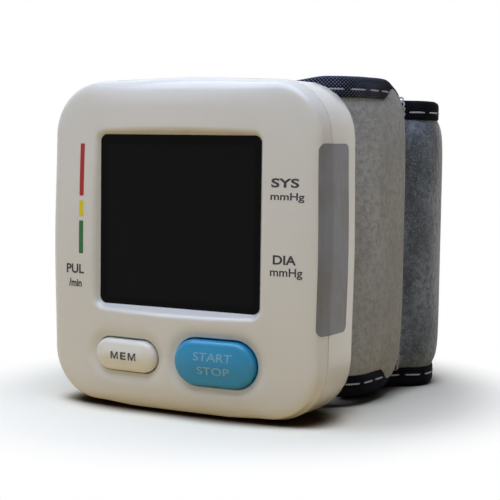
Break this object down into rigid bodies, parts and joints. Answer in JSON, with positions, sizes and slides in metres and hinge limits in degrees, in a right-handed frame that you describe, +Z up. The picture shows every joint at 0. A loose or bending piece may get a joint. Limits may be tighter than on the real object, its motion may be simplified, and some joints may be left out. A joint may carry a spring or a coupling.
{
  "type": "wrist blood pressure monitor",
  "caption": "Wrist blood pressure monitor: rounded housing with a dark display and two pill buttons, cells, pump and valve, on a bound velour cuff with a hinged flap and strap.",
  "frame": {"origin": "middle of the housing's flat bottom, on which the monitor stands", "axes": "+Z up, +Y from the display back through the cuff, +X to the right of someone who reads the display"},
  "size_m": [0.0707, 0.0953, 0.0764],
  "materials": {
    "ivory_plastic": "moulded ivory, softly polished",
    "ivory_button": "moulded ivory, polished",
    "blue_button": "moulded blue, polished",
    "dark_lens": "smoked clear acrylic, mirror smooth",
    "lcd_glass": "blank display glass",
    "dark_plastic": "moulded dark grey",
    "white_plastic": "natural moulded white",
    "circuit_board": "green solder mask",
    "steel": "nickel plated",
    "cell_jacket": "plain printed jacket",
    "silicone": "clear grey silicone",
    "bladder_film": "welded film",
    "velour_light": "brushed loop velour, warm grey",
    "velour_dark": "brushed loop velour, cool grey",
    "woven_binding": "woven edging tape with a pale stitch",
    "cuff_lining": "plain woven nylon",
    "hook_tape": "hook tape"
  },
  "bodies": {
    "housing": {"front_cover": "ivory_plastic", "rear_cover": "ivory_plastic", "display_lens": "dark_lens", "lcd_glass": "lcd_glass", "lcd_frame": "dark_plastic", "zebra_strip": "silicone", "circuit_board": "circuit_board", "mem_switch_case": "steel", "start_switch_case": "steel", "case_screw_1": "steel", "case_screw_2": "steel", "case_screw_3": "steel", "case_screw_4": "steel", "battery_tray": "ivory_plastic", "battery_cell_outer": "cell_jacket", "battery_cell_inner": "cell_jacket", "battery_contact_bridge": "steel", "battery_contact_plus": "steel", "battery_contact_minus": "steel", "battery_spring_lower": "steel", "battery_spring_upper": "steel", "pump_motor": "steel", "pump_head": "white_plastic", "exhaust_valve": "dark_plastic", "pressure_sensor": "dark_plastic", "air_manifold": "white_plastic", "pump_hose": "silicone", "valve_hose": "silicone", "sensor_hose": "silicone", "cuff_bracket": "dark_plastic", "bracket_screw_1": "steel", "bracket_screw_2": "steel", "base_velour": "velour_light", "base_bladder": "bladder_film", "base_curl_plate": "white_plastic", "base_lining": "cuff_lining", "base_binding_upper": "woven_binding", "base_binding_lower": "woven_binding"},
    "battery_door": {"battery_door": "ivory_plastic"},
    "mem_button": {"mem_button": "ivory_button", "mem_switch_plunger": "dark_plastic"},
    "start_button": {"start_button": "blue_button", "start_switch_plunger": "dark_plastic"},
    "cuff_flap": {"flap_velour": "velour_light", "flap_stiffener": "white_plastic", "flap_lining": "cuff_lining", "flap_hook_patch": "hook_tape", "flap_binding": "woven_binding"},
    "cuff_strap": {"strap_velour": "velour_dark", "strap_bladder": "bladder_film", "strap_curl_plate": "white_plastic", "strap_lining": "cuff_lining", "strap_binding": "woven_binding"}
  },
  "joints": [
    {"name": "mem_button_press", "type": "slide", "parent": "housing", "child": "mem_button", "axis": [0, 1, 0], "range_m": [0, 0.0007], "stiffness_N_per_m": 800},
    {"name": "start_button_press", "type": "slide", "parent": "housing", "child": "start_button", "axis": [0, 1, 0], "range_m": [0, 0.0007], "stiffness_N_per_m": 800},
    {"name": "battery_door_open", "type": "hinge", "parent": "housing", "child": "battery_door", "pos_m": [-0.0348, 0.0037, 0.01475], "axis": [0, -1, 0], "range_deg": [0, 45]},
    {"name": "cuff_flap_peel", "type": "hinge", "parent": "housing", "child": "cuff_flap", "pos_m": [0.0326, 0.0272, 0.0393], "axis": [0, 0, -1], "range_deg": [0, 75]},
    {"name": "cuff_strap_open", "type": "hinge", "parent": "housing", "child": "cuff_strap", "pos_m": [-0.0326, 0.0272, 0.0393], "axis": [0, 0, 1], "range_deg": [0, 60]}
  ]
}
